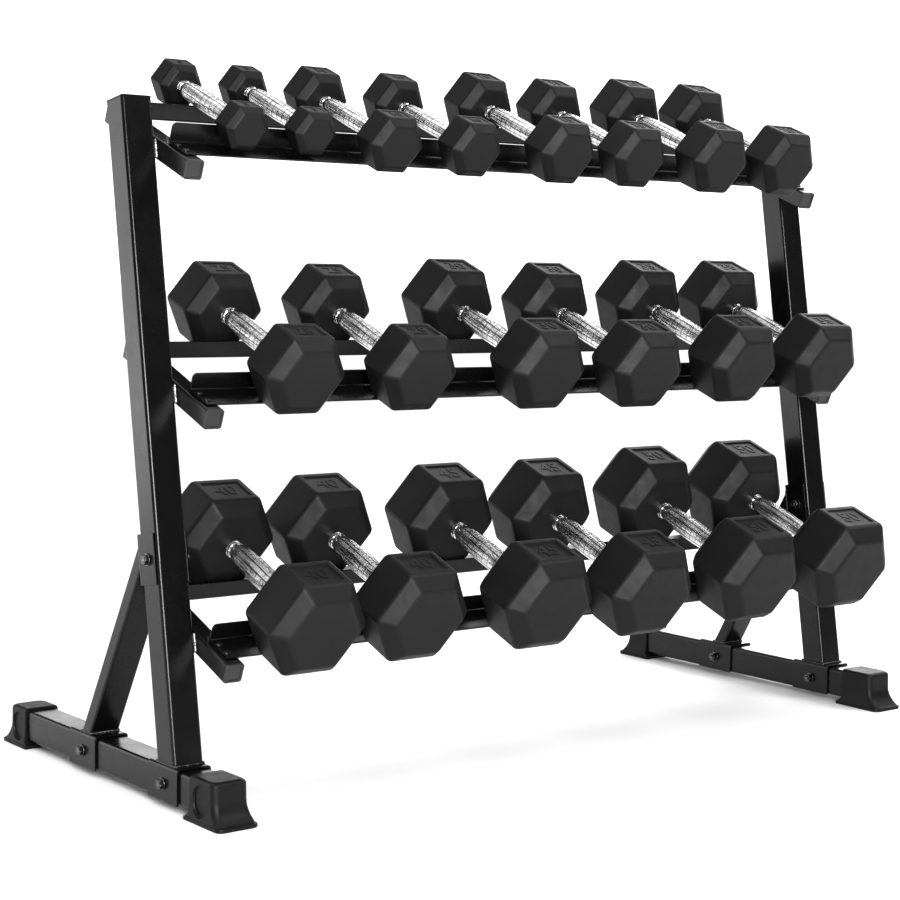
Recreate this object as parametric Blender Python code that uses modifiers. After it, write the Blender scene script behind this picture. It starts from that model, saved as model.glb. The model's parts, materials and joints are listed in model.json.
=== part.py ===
"""Three-tier dumbbell rack with its hexagonal dumbbells.

Two leaning uprights stand on base beams, each held by a saddle and a rear brace.
Every tier is a pair of short sloping arms that carry two angle rails, and the
dumbbells rest on the rails with their heads outside the two standing flanges.

Metres, +Z up, +X to the right seen from the front, and the front faces -Y.
The origin is on the floor, in the middle of the footprint.
"""
import math

import bpy
import bmesh
from mathutils import Matrix, Vector

# Clearance between solids that touch
GAP = 0.0003

# Frame
RACK_WIDTH = 1.290           # outside of one upright to outside of the other
TUBE = 0.045                 # square tube of the uprights and base beams
TUBE_WALL = 0.002
TUBE_CORNER = 0.0035
BEAM_TOP = 0.055
BASE_DEPTH = 0.620           # over the flared ends of the boots
BASE_Y = 0.0243              # middle of the base; the bottom tier overhangs it at the front

# Saddles between the base beams and what stands on them
SADDLE_PLATE = 0.003
PLATE_BEND = 0.0042          # outer bend radius of the folded plates
SADDLE_LENGTH = 0.076
FRONT_SADDLE_Y = BASE_Y - 0.160
REAR_SADDLE_Y = BASE_Y + 0.064

# Uprights
UPRIGHT_LEAN = math.radians(9.2)
UPRIGHT_LENGTH = 0.886
UPRIGHT_FRONT_Y = BASE_Y - 0.1855    # front face where it meets the saddle

# Rear braces
BRACE_DEPTH = 0.022
BRACE_WALL = 0.0015
BRACE_LEAN = math.radians(29.6)
BRACE_FOOT_Y = BASE_Y + 0.058
BRACKET_PLATE = 0.003
BRACKET_HEIGHT = 0.068
BRACKET_UP = 0.272           # along the upright
BRACKET_SETBACK = 0.004
BRACE_BLANK = (-0.03, 0.42)  # uncut tube, trimmed by the saddle's top and the bracket
UPRIGHT_OVERCUT = 0.01       # uncut tube below the upright's level foot
CUTTER = 0.4                 # half size of the trimming boxes

# Arms, three a side
TRAY_TILT = math.radians(21.3)
ARM = 0.027
ARM_WALL = 0.0015
ARM_CORNER = 0.0028
ARM_LENGTH = 0.232
ARM_REACH = 0.0902           # from the upright's front face to the arm's front end
TIER_UP = {"bottom": 0.1732, "middle": 0.5023, "top": 0.8294}

# Angle rails, two a tier
RAIL_HALF_LENGTH = 0.5918
RAIL_THICKNESS = 0.0025
RAIL_FLANGE = 0.0490
RAIL_BEND = 0.0035
FRONT_RAIL_HEIGHT = {"bottom": 0.0250, "middle": 0.0250, "top": 0.0290}
FRONT_RAIL_BACK = {"bottom": 0.0636, "middle": 0.0636, "top": 0.0676}
REAR_RAIL_HEIGHT = 0.0250
REAR_RAIL_FRONT = 0.1640     # both setbacks are from the arm's front end

# Closures
CAP_PLATE = 0.003
CAP_STEM = 0.010
CAP_CORNER = 0.0035

# Boots on the beam ends
BOOT_WALL = 0.004
BOOT_GRIP = {"front": 0.060, "rear": 0.050}
BOOT_FLARE = 0.020
BOOT_SIDE_FLARE = 0.0045
BOOT_HEEL = 0.008
BOOT_HEEL_HEIGHT = 0.006     # above the sole
BOOT_SOLE = 0.005
BOOT_SOLE_EDGE = 0.0012
BOOT_SKIRT = 0.034           # height of the flared part
BOOT_SOLE_TAPER = 0.95       # end spread at the very bottom, over the full flare
BOOT_SIDE_SWEEP = 2.2        # how quickly the flare dies away up the sides
BOOT_END_SWEEP = 1.9
BOOT_END_SPREAD = 0.86       # end spread just over the sole
BOOT_CROWN = ((0.004, 0.0, -0.04), (0.001, -0.25, -0.12), (0.0, -0.7, -0.26))
BOOT_CORNER = 0.007
BOOT_STOP = 0.004            # rubber between the beam's end and the outer face
BOOT_PANEL = (0.028, 0.040)  # oval recess on the outer side, width and height
BOOT_PANEL_DEPTH = 0.0015
BOOT_PANEL_HEIGHT = 0.031
BOOT_PANEL_PLACE = 0.46      # along the gripped length
POCKET_OVERRUN = 0.02

# Through bolts
BOLT_RADIUS = 0.004
BOLT_HOLE = 0.0043
BOLT_HEX = 0.013             # across flats of head and nut
BOLT_HEAD = 0.0053
BOLT_NUT = 0.0065
BOLT_TAIL = 0.003
WASHER_RADIUS = 0.0085
WASHER = 0.0015

# Dumbbells: head size across flats, light pairs to heavy pairs
HEAD_SIZES = (0.0600, 0.0787, 0.0912, 0.1015, 0.1095, 0.1198, 0.1238, 0.1325, 0.1395, 0.1455)
HEAD_LENGTH_RATIO = 0.734    # head length over its size across flats
HEAD_CHAMFER_RATIO = 0.14
HANDLE_GAP = 0.142           # between the inner faces of the two heads
GRIP_RADII = (0.0140, 0.0130, 0.0140, 0.0145, 0.0160, 0.0160, 0.0165, 0.0165, 0.0170, 0.0170)
HANDLE_SINK = 0.012          # how far the handle runs into each head
COLLAR_LENGTH = 0.010
GROOVE_LENGTH = 0.004
NECK_STEP = 0.001            # length of the slope from one radius of the neck to the next
COLLAR_RATIO = 0.78          # radii over the grip's own
GROOVE_RATIO = 0.70
GRIP_TAIL_RATIO = 0.88
ROUND_SEGMENTS = 12

# Where each dumbbell lies on its tier: place along the rack, and how far the middle
# of its handle is behind the front end of the arms
TIER_LOADS = {
    "top": ((-0.506, 0.1280), (-0.399, 0.1250), (-0.287, 0.1005), (-0.146, 0.1010),
            (0.015, 0.0980), (0.160, 0.0990), (0.323, 0.0970), (0.486, 0.1060)),
    "middle": ((-0.478, 0.1100), (-0.292, 0.1085), (-0.071, 0.1050),
               (0.118, 0.0980), (0.325, 0.1060), (0.516, 0.1115)),
    "bottom": ((-0.505, 0.1055), (-0.336, 0.1065), (-0.123, 0.0995),
               (0.072, 0.0975), (0.297, 0.1025), (0.509, 0.1060)),
}
TIER_LIGHTEST = {"top": 0, "middle": 4, "bottom": 7}

SIDES = {"left": -1, "right": 1}
SIDE_X = RACK_WIDTH / 2 - TUBE / 2
SADDLE_TOP = BEAM_TOP + GAP + SADDLE_PLATE


# ---------------------------------------------------------------- helpers

def clear_scene():
    for obj in list(bpy.data.objects):
        bpy.data.objects.remove(obj, do_unlink=True)


def new_collection(name):
    collection = bpy.data.collections.new(name)
    bpy.context.scene.collection.children.link(collection)
    return collection


def new_material(name, colour, roughness, metallic):
    material = bpy.data.materials.new(name)
    material.use_nodes = True
    shader = material.node_tree.nodes["Principled BSDF"]
    shader.inputs["Base Color"].default_value = (*colour, 1.0)
    shader.inputs["Roughness"].default_value = roughness
    shader.inputs["Metallic"].default_value = metallic
    return material


def add_object(name, data, matrix, collection, material=None):
    obj = bpy.data.objects.new(name, data)
    obj.matrix_world = matrix
    collection.objects.link(obj)
    if material:
        obj.data.materials.clear()
        obj.data.materials.append(material)
    return obj


def frame_matrix(origin, first, second, third):
    """Matrix that takes local X, Y and Z to the three given directions."""
    rotation = Matrix((first, second, third)).transposed().to_4x4()
    return Matrix.Translation(origin) @ rotation


def mesh_from(obj):
    """A welded mesh of an object as its modifiers leave it; the object is removed."""
    bpy.context.view_layer.update()
    evaluated = obj.evaluated_get(bpy.context.evaluated_depsgraph_get())
    mesh = bpy.data.meshes.new_from_object(evaluated)
    shape = bmesh.new()
    shape.from_mesh(mesh)
    bmesh.ops.remove_doubles(shape, verts=shape.verts, dist=1e-6)
    bmesh.ops.recalc_face_normals(shape, faces=shape.faces)
    shape.to_mesh(mesh)
    shape.free()
    bpy.data.objects.remove(obj, do_unlink=True)
    return mesh


def rounded_rectangle(width, height, radius, centre=(0, 0), steps=3):
    """Corner arcs of a rectangle, counter-clockwise."""
    points = []
    for corner in range(4):
        start = corner * math.pi / 2
        side_u = 1 if corner in (0, 3) else -1
        side_v = 1 if corner in (0, 1) else -1
        middle_u = centre[0] + side_u * (width / 2 - radius)
        middle_v = centre[1] + side_v * (height / 2 - radius)
        for step in range(steps + 1):
            angle = start + step / steps * math.pi / 2
            points.append((middle_u + radius * math.cos(angle), middle_v + radius * math.sin(angle)))
    return points


def channel_outline(inner, plate, low, web):
    """A folded channel: two sides from v = low up to a web whose inside is at v = web."""
    outer = inner + plate
    top = web + plate
    outline = [(-outer, low), (-inner, low), (-inner, web), (inner, web), (inner, low), (outer, low)]
    for step in range(8):
        angle = (step - step // 4) / 3 * math.pi / 2
        side = 1 if step < 4 else -1
        outline.append((side * (outer - PLATE_BEND) + PLATE_BEND * math.cos(angle),
                        top - PLATE_BEND + PLATE_BEND * math.sin(angle)))
    return outline


def prism_mesh(loops, low, high):
    """Outline loops filled as one flat shape and extruded along Z from low to high."""
    curve = bpy.data.curves.new("outline", "CURVE")
    curve.dimensions = "2D"
    curve.fill_mode = "BOTH"
    curve.extrude = (high - low) / 2
    for points in loops:
        spline = curve.splines.new("POLY")
        spline.points.add(len(points) - 1)
        for point, (u, v) in zip(spline.points, points):
            point.co = (u, v, 0, 1)
        spline.use_cyclic_u = True
    mesh = mesh_from(add_object("outline", curve, Matrix.Identity(4), TOOLS))
    mesh.transform(Matrix.Translation((0, 0, (high + low) / 2)))
    bpy.data.curves.remove(curve)
    return mesh


def tube_mesh(width, height, wall, corner, low, high, centre=(0, 0)):
    outer = rounded_rectangle(width, height, corner, centre)
    inner = rounded_rectangle(width - 2 * wall, height - 2 * wall, corner - wall / 2, centre, 2)
    return prism_mesh((outer, inner), low, high)


def cylinder_mesh(radius, length, segments=ROUND_SEGMENTS):
    """A closed cylinder or prism along Z, centred on its origin."""
    mesh = bpy.data.meshes.new("cylinder")
    shape = bmesh.new()
    bmesh.ops.create_cone(shape, cap_ends=True, segments=segments, radius1=radius,
                          radius2=radius, depth=length)
    shape.to_mesh(mesh)
    shape.free()
    return mesh


def box_mesh(low, high):
    mesh = bpy.data.meshes.new("box")
    shape = bmesh.new()
    size = Vector(high) - Vector(low)
    centre = (Vector(high) + Vector(low)) / 2
    matrix = Matrix.Translation(centre) @ Matrix.Diagonal((*size, 1))
    bmesh.ops.create_cube(shape, size=1, matrix=matrix)
    shape.to_mesh(mesh)
    shape.free()
    return mesh


def combine(obj, mesh, matrix, operation="DIFFERENCE"):
    """Cut a mesh from an object, or join it on, with a Boolean modifier."""
    tool = add_object(obj.name + "_tool", mesh, matrix, TOOLS)
    tool.hide_render = True
    tool.display_type = "WIRE"
    modifier = obj.modifiers.new(operation.lower(), "BOOLEAN")
    modifier.operation = operation
    modifier.solver = "EXACT"
    modifier.object = tool


def bolt_hole(obj, centre):
    """A hole along X through both walls of an object."""
    length = TUBE + 4 * SADDLE_PLATE
    combine(obj, cylinder_mesh(BOLT_HOLE, length), Matrix.Translation(centre) @ ALONG_X)


def shade(obj, angle=35):
    obj.data.shade_smooth()
    obj.data.set_sharp_from_angle(angle=math.radians(angle))


# Outline directions: u and v of an outline, then the way it is extruded
ALONG_X = frame_matrix((0, 0, 0), (0, 1, 0), (0, 0, 1), (1, 0, 0))
ALONG_Y = frame_matrix((0, 0, 0), (0, 0, 1), (1, 0, 0), (0, 1, 0))


def upright_matrix(side):
    """Foot of an upright: Z runs up along it, and Y back across it from its front face."""
    foot = Vector((side * SIDE_X, UPRIGHT_FRONT_Y, SADDLE_TOP))
    return Matrix.Translation(foot) @ Matrix.Rotation(-UPRIGHT_LEAN, 4, "X")


def tray_matrix(tier):
    """A tier's tray: the origin is mid-rack at the arms' front end, on their top faces.

    Y runs back along the arms, and Z stands square to the tray.
    """
    on_upright = upright_matrix(0) @ Vector((0, 0, TIER_UP[tier]))
    tilt = Matrix.Rotation(TRAY_TILT, 4, "X")
    return Matrix.Translation(on_upright) @ tilt @ Matrix.Translation((0, -ARM_REACH, 0))


# ---------------------------------------------------------------- frame

def bolt_places(side):
    x = side * SIDE_X
    middle = BEAM_TOP - TUBE / 2
    bracket = upright_matrix(side) @ Vector((0, TUBE / 2, BRACKET_UP))
    return {
        "front_saddle_bolt": Vector((x, FRONT_SADDLE_Y, middle)),
        "rear_saddle_bolt": Vector((x, REAR_SADDLE_Y, middle)),
        "brace_bolt": bracket,
    }


def add_base_beam(word, side):
    half = BASE_DEPTH / 2 - BOOT_FLARE - BOOT_WALL - 2 * GAP
    mesh = tube_mesh(TUBE, TUBE, TUBE_WALL, TUBE_CORNER, -half, half)
    place = Matrix.Translation((side * SIDE_X, BASE_Y, BEAM_TOP - TUBE / 2)) @ ALONG_Y
    beam = add_object("base_beam_" + word, mesh, place, PARTS, STEEL)
    places = bolt_places(side)
    bolt_hole(beam, places["front_saddle_bolt"])
    bolt_hole(beam, places["rear_saddle_bolt"])
    shade(beam)


def add_saddle(name, side, y, hole):
    """A channel that straddles the base beam, open downwards."""
    inner = TUBE / 2 + GAP
    low = BEAM_TOP - TUBE
    inner_top = BEAM_TOP + GAP
    profile = channel_outline(inner, SADDLE_PLATE, low, inner_top)
    outline = [(height, x) for x, height in reversed(profile)]
    mesh = prism_mesh((outline,), -SADDLE_LENGTH / 2, SADDLE_LENGTH / 2)
    place = Matrix.Translation((side * SIDE_X, y, 0)) @ ALONG_Y
    saddle = add_object(name, mesh, place, PARTS, STEEL)
    bolt_hole(saddle, hole)
    shade(saddle)


def add_upright(word, side):
    """A square tube cut level at its foot and square at its head."""
    matrix = upright_matrix(side)
    run_out = TUBE * math.tan(UPRIGHT_LEAN) + UPRIGHT_OVERCUT
    mesh = tube_mesh(TUBE, TUBE, TUBE_WALL, TUBE_CORNER, -run_out, UPRIGHT_LENGTH - CAP_PLATE - GAP,
                     (0, TUBE / 2))
    upright = add_object("upright_" + word, mesh, matrix, PARTS, STEEL)
    ground = box_mesh((-0.1, -0.2, -0.1), (0.1, 0.2, GAP))
    combine(upright, ground, Matrix.Translation(matrix.translation))
    bolt_hole(upright, bolt_places(side)["brace_bolt"])
    shade(upright)


def plug_mesh(size, wall, centre):
    """A push-in closure: a cover plate with a stem below it, along -Z."""
    plate = rounded_rectangle(size, size, CAP_CORNER, centre, 2)
    stem = size - 2 * wall - 2 * GAP
    plug = add_object("plug", prism_mesh((plate,), 0, CAP_PLATE), Matrix.Identity(4), TOOLS)
    shank = prism_mesh((rounded_rectangle(stem, stem, CAP_CORNER - wall, centre, 1),),
                       -CAP_STEM, CAP_PLATE / 2)
    combine(plug, shank, Matrix.Identity(4), "UNION")
    return mesh_from(plug)


def add_upright_cap(word, side):
    place = upright_matrix(side) @ Matrix.Translation((0, 0, UPRIGHT_LENGTH - CAP_PLATE))
    cap = add_object("upright_cap_" + word, plug_mesh(TUBE, TUBE_WALL, (0, TUBE / 2)), place,
                     PARTS, PLASTIC)
    shade(cap)


def add_brace(word, side):
    """A leaning tube whose top is welded to a U bracket round the upright."""
    foot = Vector((side * SIDE_X, BRACE_FOOT_Y, SADDLE_TOP + GAP))
    lean = Matrix.Translation(foot) @ Matrix.Rotation(BRACE_LEAN, 4, "X")
    tube = tube_mesh(TUBE, BRACE_DEPTH, BRACE_WALL, ARM_CORNER, *BRACE_BLANK)
    brace = add_object("brace_" + word, tube, lean, PARTS, STEEL)
    below = box_mesh((-CUTTER, -CUTTER, -CUTTER), (CUTTER, CUTTER, 0))
    combine(brace, below, Matrix.Translation(foot))
    upright = upright_matrix(side)
    web_middle = TUBE + GAP + BRACKET_PLATE / 2
    ahead = box_mesh((-CUTTER, -CUTTER, 0), (CUTTER, web_middle, 2 * CUTTER))
    combine(brace, ahead, upright)
    half = BRACKET_HEIGHT / 2
    outline = channel_outline(TUBE / 2 + GAP, BRACKET_PLATE, BRACKET_SETBACK, TUBE + GAP)
    bracket = prism_mesh((outline,), BRACKET_UP - half, BRACKET_UP + half)
    combine(brace, bracket, upright, "UNION")
    bolt_hole(brace, bolt_places(side)["brace_bolt"])
    shade(brace)


def arm_x(side):
    return side * (RACK_WIDTH / 2 - TUBE - GAP - ARM / 2)


def add_arm(tier, word, side):
    name = tier + "_" + word
    place = tray_matrix(tier) @ Matrix.Translation((arm_x(side), 0, 0))
    tube = tube_mesh(ARM, ARM, ARM_WALL, ARM_CORNER, CAP_PLATE + GAP, ARM_LENGTH, (-ARM / 2, 0))
    arm = add_object("arm_" + name, tube, place @ ALONG_Y, PARTS, STEEL)
    shade(arm)
    face_front = frame_matrix((0, CAP_PLATE, 0), (1, 0, 0), (0, 0, 1), (0, -1, 0))
    plug = plug_mesh(ARM, ARM_WALL, (0, -ARM / 2))
    cap = add_object("arm_cap_" + name, plug, place @ face_front, PARTS, PLASTIC)
    shade(cap)


# ---------------------------------------------------------------- rails

def rail_outline(height):
    """Angle section: the standing flange starts at y = 0 and the tray flange runs to +y."""
    points = [(RAIL_FLANGE, 0), (RAIL_FLANGE, RAIL_THICKNESS)]
    inner_bend = RAIL_BEND - RAIL_THICKNESS / 2
    for step in range(4):
        angle = step / 3 * math.pi / 2
        points.append((RAIL_THICKNESS + inner_bend - inner_bend * math.sin(angle),
                       RAIL_THICKNESS + inner_bend - inner_bend * math.cos(angle)))
    points += [(RAIL_THICKNESS, height), (0, height)]
    for step in range(4):
        angle = step / 3 * math.pi / 2
        points.append((RAIL_BEND - RAIL_BEND * math.cos(angle), RAIL_BEND - RAIL_BEND * math.sin(angle)))
    return points


def add_rails(tier):
    tray = tray_matrix(tier)
    front = rail_outline(FRONT_RAIL_HEIGHT[tier])
    front = [(FRONT_RAIL_BACK[tier] - y, z + GAP) for y, z in reversed(front)]
    rear = [(REAR_RAIL_FRONT + y, z + GAP) for y, z in rail_outline(REAR_RAIL_HEIGHT)]
    for word, outline in (("front", front), ("rear", rear)):
        mesh = prism_mesh((outline,), -RAIL_HALF_LENGTH, RAIL_HALF_LENGTH)
        rail = add_object("rail_" + tier + "_" + word, mesh, tray @ ALONG_X, PARTS, STEEL)
        shade(rail)


# ---------------------------------------------------------------- boots

def boot_sections():
    """Height, side spread and end spread of the boot's level sections."""
    top = BEAM_TOP + BOOT_WALL
    sections = [(0, 1.0, BOOT_SOLE_TAPER), (BOOT_SOLE_EDGE, 1.0, 1.0), (BOOT_SOLE, 1.0, 1.0)]
    flare_steps = 4
    for step in range(1, flare_steps + 1):
        along = step / flare_steps
        height = BOOT_SOLE + BOOT_SKIRT * along
        side_spread = (1 - along) ** BOOT_SIDE_SWEEP
        sections.append((height, side_spread, BOOT_END_SPREAD * (1 - along) ** BOOT_END_SWEEP))
    for below_top, side_spread, end_spread in BOOT_CROWN:
        sections.append((top - below_top, side_spread, end_spread))
    return sections


def boot_mesh(grip):
    """Lofted boot: Y runs along the beam from the lip (0) to the outer end."""
    half = TUBE / 2 + BOOT_WALL
    heel_top = BOOT_SOLE + BOOT_HEEL_HEIGHT
    shape = bmesh.new()
    rings = []
    for height, side_spread, end_spread in boot_sections():
        half_width = half + BOOT_SIDE_FLARE * side_spread
        heel = BOOT_HEEL if height <= heel_top else 0
        end = grip + BOOT_FLARE * end_spread
        middle = (0, (end - heel) / 2)
        outline = rounded_rectangle(2 * half_width, end + heel, BOOT_CORNER, middle)
        rings.append([shape.verts.new((x, y, height)) for x, y in outline])
    for lower, upper in zip(rings, rings[1:]):
        bmesh.ops.bridge_loops(shape, edges=ring_edges(shape, lower) + ring_edges(shape, upper))
    shape.faces.new(rings[0][::-1])
    shape.faces.new(rings[-1])
    bmesh.ops.recalc_face_normals(shape, faces=shape.faces)
    mesh = bpy.data.meshes.new("boot")
    shape.to_mesh(mesh)
    shape.free()
    return mesh


def ring_edges(shape, ring):
    edges = []
    for first, second in zip(ring, ring[1:] + ring[:1]):
        edge = shape.edges.get((first, second))
        edges.append(edge or shape.edges.new((first, second)))
    return edges


def add_boot(word, end_word, side, end):
    """A flared rubber boot pushed over a beam end."""
    grip = BOOT_GRIP[end_word]
    lip_y = BASE_Y + end * (BASE_DEPTH / 2 - BOOT_FLARE - grip)
    turn = Matrix.Rotation(0 if end > 0 else math.pi, 4, "Z")
    place = Matrix.Translation((side * SIDE_X, lip_y, 0)) @ turn
    boot = add_object("boot_" + end_word + "_" + word, boot_mesh(grip), place, PARTS, RUBBER)
    half = TUBE / 2 + GAP
    low = (-half, -POCKET_OVERRUN, BEAM_TOP - TUBE - GAP)
    pocket = box_mesh(low, (half, grip - BOOT_STOP, BEAM_TOP + GAP))
    combine(boot, pocket, place)
    width, height = BOOT_PANEL
    oval = rounded_rectangle(width, height, width / 2 - GAP, (0, 0), 4)
    panel = prism_mesh((oval,), 0, POCKET_OVERRUN)
    outside = side * (TUBE / 2 + BOOT_WALL - BOOT_PANEL_DEPTH)
    centre = Vector((SIDE_X * side + outside, lip_y + end * grip * BOOT_PANEL_PLACE, BOOT_PANEL_HEIGHT))
    combine(boot, panel, frame_matrix(centre, (0, side, 0), (0, 0, 1), (side, 0, 0)))
    shade(boot)


# ---------------------------------------------------------------- bolts

def bolt_mesh():
    """Hex-head bolt with washers and nut, along Z, its head towards +Z."""
    half_grip = TUBE / 2 + GAP + SADDLE_PLATE + GAP
    hex_radius = BOLT_HEX / math.sqrt(3)
    length = 2 * half_grip + 2 * WASHER + BOLT_NUT + BOLT_TAIL
    bolt = add_object("bolt", cylinder_mesh(BOLT_RADIUS, length), Matrix.Identity(4), TOOLS)
    bolt.data.transform(Matrix.Translation((0, 0, half_grip + WASHER - length / 2)))
    pieces = (
        (cylinder_mesh(WASHER_RADIUS, WASHER), half_grip + WASHER / 2),
        (cylinder_mesh(WASHER_RADIUS, WASHER), -half_grip - WASHER / 2),
        (cylinder_mesh(hex_radius, BOLT_HEAD, 6), half_grip + WASHER + BOLT_HEAD / 2),
        (cylinder_mesh(hex_radius, BOLT_NUT, 6), -half_grip - WASHER - BOLT_NUT / 2),
    )
    for mesh, height in pieces:
        combine(bolt, mesh, Matrix.Translation((0, 0, height)), "UNION")
    return mesh_from(bolt)


def add_bolts(word, side, mesh):
    for name, centre in bolt_places(side).items():
        outward = frame_matrix(centre, (0, side, 0), (0, 0, 1), (side, 0, 0))
        bolt = add_object(name + "_" + word, mesh, outward, PARTS, BLACK_STEEL)
        shade(bolt)


# ---------------------------------------------------------------- dumbbells

def head_mesh(size):
    """Hexagonal head along Z with chamfered ends, standing on a flat."""
    length = size * HEAD_LENGTH_RATIO
    mesh = cylinder_mesh(size / math.sqrt(3), length, 6)
    shape = bmesh.new()
    shape.from_mesh(mesh)
    bmesh.ops.rotate(shape, verts=shape.verts, matrix=Matrix.Rotation(math.pi / 6, 3, "Z"))
    rims = [edge for edge in shape.edges if abs(edge.verts[0].co.z - edge.verts[1].co.z) < length / 2]
    bmesh.ops.bevel(shape, geom=rims, offset=size * HEAD_CHAMFER_RATIO, segments=1,
                    affect="EDGES", clamp_overlap=True)
    shape.to_mesh(mesh)
    shape.free()
    return mesh


def handle_profile(grip):
    """Radius and place along half a handle, from the middle out to its sunk end."""
    half = HANDLE_GAP / 2
    groove_end = half - COLLAR_LENGTH
    grip_end = groove_end - GROOVE_LENGTH
    collar = grip * COLLAR_RATIO
    groove = grip * GROOVE_RATIO
    grip_tail = grip * GRIP_TAIL_RATIO
    profile = []
    for step in range(3):
        along = step / 2
        bulge = math.cos(along * math.pi / 2)
        profile.append((grip_tail + (grip - grip_tail) * bulge, grip_end * along))
    profile += [(groove, grip_end + NECK_STEP), (groove, groove_end), (collar, groove_end + NECK_STEP),
                (collar, half + HANDLE_SINK)]
    return profile


def handle_object(grip):
    """The turned handle along Z, as a profile with a Screw modifier."""
    half = handle_profile(grip)
    outer = [(radius, height) for radius, height in reversed(half)]
    outer += [(radius, -height) for radius, height in half[1:]]
    profile = [(0, outer[0][1])] + outer + [(0, outer[-1][1])]
    mesh = bpy.data.meshes.new("handle")
    edges = [(i, i + 1) for i in range(len(profile) - 1)]
    mesh.from_pydata([(radius, 0, height) for radius, height in profile], edges, [])
    handle = add_object("handle", mesh, Matrix.Identity(4), TOOLS)
    screw = handle.modifiers.new("turn", "SCREW")
    screw.axis = "Z"
    screw.steps = ROUND_SEGMENTS
    screw.render_steps = ROUND_SEGMENTS
    screw.use_merge_vertices = True
    screw.merge_threshold = 0.0001
    return handle


def dumbbell_mesh(index):
    """Two heads bonded to one handle, along Z, with a flat of the heads facing +Y."""
    size = HEAD_SIZES[index]
    handle = handle_object(GRIP_RADII[index])
    reach = HANDLE_GAP / 2 + size * HEAD_LENGTH_RATIO / 2
    for way in (-1, 1):
        combine(handle, head_mesh(size), Matrix.Translation((0, 0, way * reach)), "UNION")
    return mesh_from(handle)


def add_dumbbells(tier):
    tray = tray_matrix(tier)
    lie_down = frame_matrix((0, 0, 0), (-1, 0, 0), (0, 0, 1), (0, 1, 0))
    for number, (x, setback) in enumerate(TIER_LOADS[tier]):
        index = TIER_LIGHTEST[tier] + number // 2
        if number % 2 == 0:
            mesh = dumbbell_mesh(index)
        on_heads = RAIL_THICKNESS + 2 * GAP + HEAD_SIZES[index] / 2
        over_rear = REAR_RAIL_HEIGHT + 2 * GAP + GRIP_RADII[index]
        over_front = FRONT_RAIL_HEIGHT[tier] + 2 * GAP + GRIP_RADII[index] * COLLAR_RATIO
        centre = Matrix.Translation((x, setback, max(on_heads, over_rear, over_front)))
        name = "dumbbell_" + tier + "_" + str(number + 1)
        dumbbell = add_object(name, mesh, tray @ centre @ lie_down, PARTS, IRON)
        shade(dumbbell, 25)


# ---------------------------------------------------------------- assembly

clear_scene()
PARTS = new_collection("dumbbell_rack")
TOOLS = new_collection("tools")
STEEL = new_material("powder_coated_steel", (0.022, 0.022, 0.024), 0.38, 0.0)
BLACK_STEEL = new_material("blackened_steel", (0.030, 0.030, 0.032), 0.30, 0.9)
PLASTIC = new_material("moulded_plastic", (0.050, 0.050, 0.052), 0.55, 0.0)
RUBBER = new_material("boot_rubber", (0.040, 0.040, 0.042), 0.60, 0.0)
IRON = new_material("coated_iron", (0.032, 0.032, 0.034), 0.55, 0.0)

shared_bolt = bolt_mesh()
for side_word, side_sign in SIDES.items():
    holes = bolt_places(side_sign)
    add_base_beam(side_word, side_sign)
    add_saddle("front_saddle_" + side_word, side_sign, FRONT_SADDLE_Y, holes["front_saddle_bolt"])
    add_saddle("rear_saddle_" + side_word, side_sign, REAR_SADDLE_Y, holes["rear_saddle_bolt"])
    add_upright(side_word, side_sign)
    add_upright_cap(side_word, side_sign)
    add_brace(side_word, side_sign)
    add_bolts(side_word, side_sign, shared_bolt)
    add_boot(side_word, "front", side_sign, -1)
    add_boot(side_word, "rear", side_sign, 1)
    for tier_word in TIER_UP:
        add_arm(tier_word, side_word, side_sign)

for tier_word in TIER_UP:
    add_rails(tier_word)
    add_dumbbells(tier_word)
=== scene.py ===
"""Looks of the dumbbell rack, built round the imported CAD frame.

Every visible piece is modelled here at full detail in the place that its CAD node
gives it: rounded tubes, folded plates, weld beads, moulded boots and plugs, bolts,
rubber-skinned hexagonal heads and knurled chrome handles.
"""
import json
import math

import bmesh
import bpy
from mathutils import Matrix, Vector


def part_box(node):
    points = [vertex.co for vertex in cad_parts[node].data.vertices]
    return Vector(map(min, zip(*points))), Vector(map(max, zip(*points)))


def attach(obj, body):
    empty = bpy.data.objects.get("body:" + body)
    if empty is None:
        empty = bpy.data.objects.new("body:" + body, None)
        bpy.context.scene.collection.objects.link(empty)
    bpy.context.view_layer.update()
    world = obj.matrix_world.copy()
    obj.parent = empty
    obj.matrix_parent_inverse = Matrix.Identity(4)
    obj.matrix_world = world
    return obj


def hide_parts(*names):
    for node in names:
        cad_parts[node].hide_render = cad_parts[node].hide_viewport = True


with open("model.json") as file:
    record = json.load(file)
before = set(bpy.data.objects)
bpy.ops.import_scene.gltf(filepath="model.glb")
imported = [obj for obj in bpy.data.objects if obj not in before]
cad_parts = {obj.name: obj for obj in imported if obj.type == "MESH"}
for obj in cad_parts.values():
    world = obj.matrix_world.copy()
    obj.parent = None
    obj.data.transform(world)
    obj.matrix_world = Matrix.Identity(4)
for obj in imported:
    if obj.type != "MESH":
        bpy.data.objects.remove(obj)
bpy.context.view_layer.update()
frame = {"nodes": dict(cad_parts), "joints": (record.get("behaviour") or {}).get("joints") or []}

SCENE = bpy.context.scene

# Directions of the tiers: they slope down to the front, and a dumbbell lifts square to them
ACROSS = Vector((1, 0, 0))
LIFT = Vector(frame["joints"][0]["axis"]).normalized()
BACK = Vector((0, LIFT.z, -LIFT.y))
UPRIGHT_LEAN = math.radians(9.2)
BRACE_LEAN = math.radians(29.6)

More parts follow.
